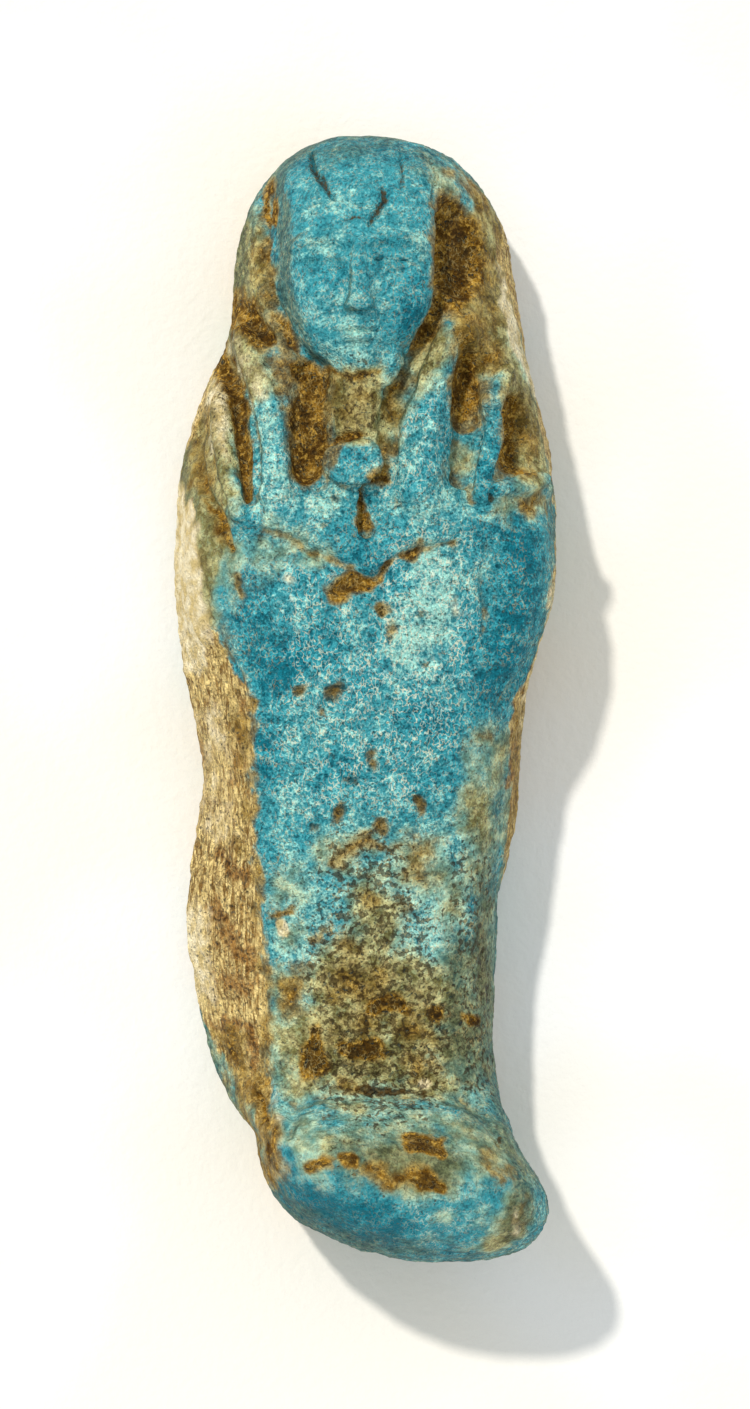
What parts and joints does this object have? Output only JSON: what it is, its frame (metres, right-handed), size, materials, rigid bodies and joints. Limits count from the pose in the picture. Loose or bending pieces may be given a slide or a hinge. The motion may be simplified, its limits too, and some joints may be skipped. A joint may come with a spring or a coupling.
{
  "type": "ushabti figurine",
  "caption": "Small mummy-shaped funerary figure of glazed faience, moulded in one piece, with wig, beard, crossed hands, hoes and upturned feet, worn and stained, lying on its flat back.",
  "frame": {"origin": "centre of the bounding box, in the plane of the flat back that it lies on", "axes": "+Y towards the crown of the head, +Z out of the chest, +X towards the figure's own left"},
  "size_m": [0.0184, 0.054, 0.0133],
  "materials": {
    "faience": "worn matt turquoise glaze with brown soil in the hollows and bare ochre body on the flanks"
  },
  "bodies": {
    "root": {"figurine": "faience"}
  },
  "joints": []
}
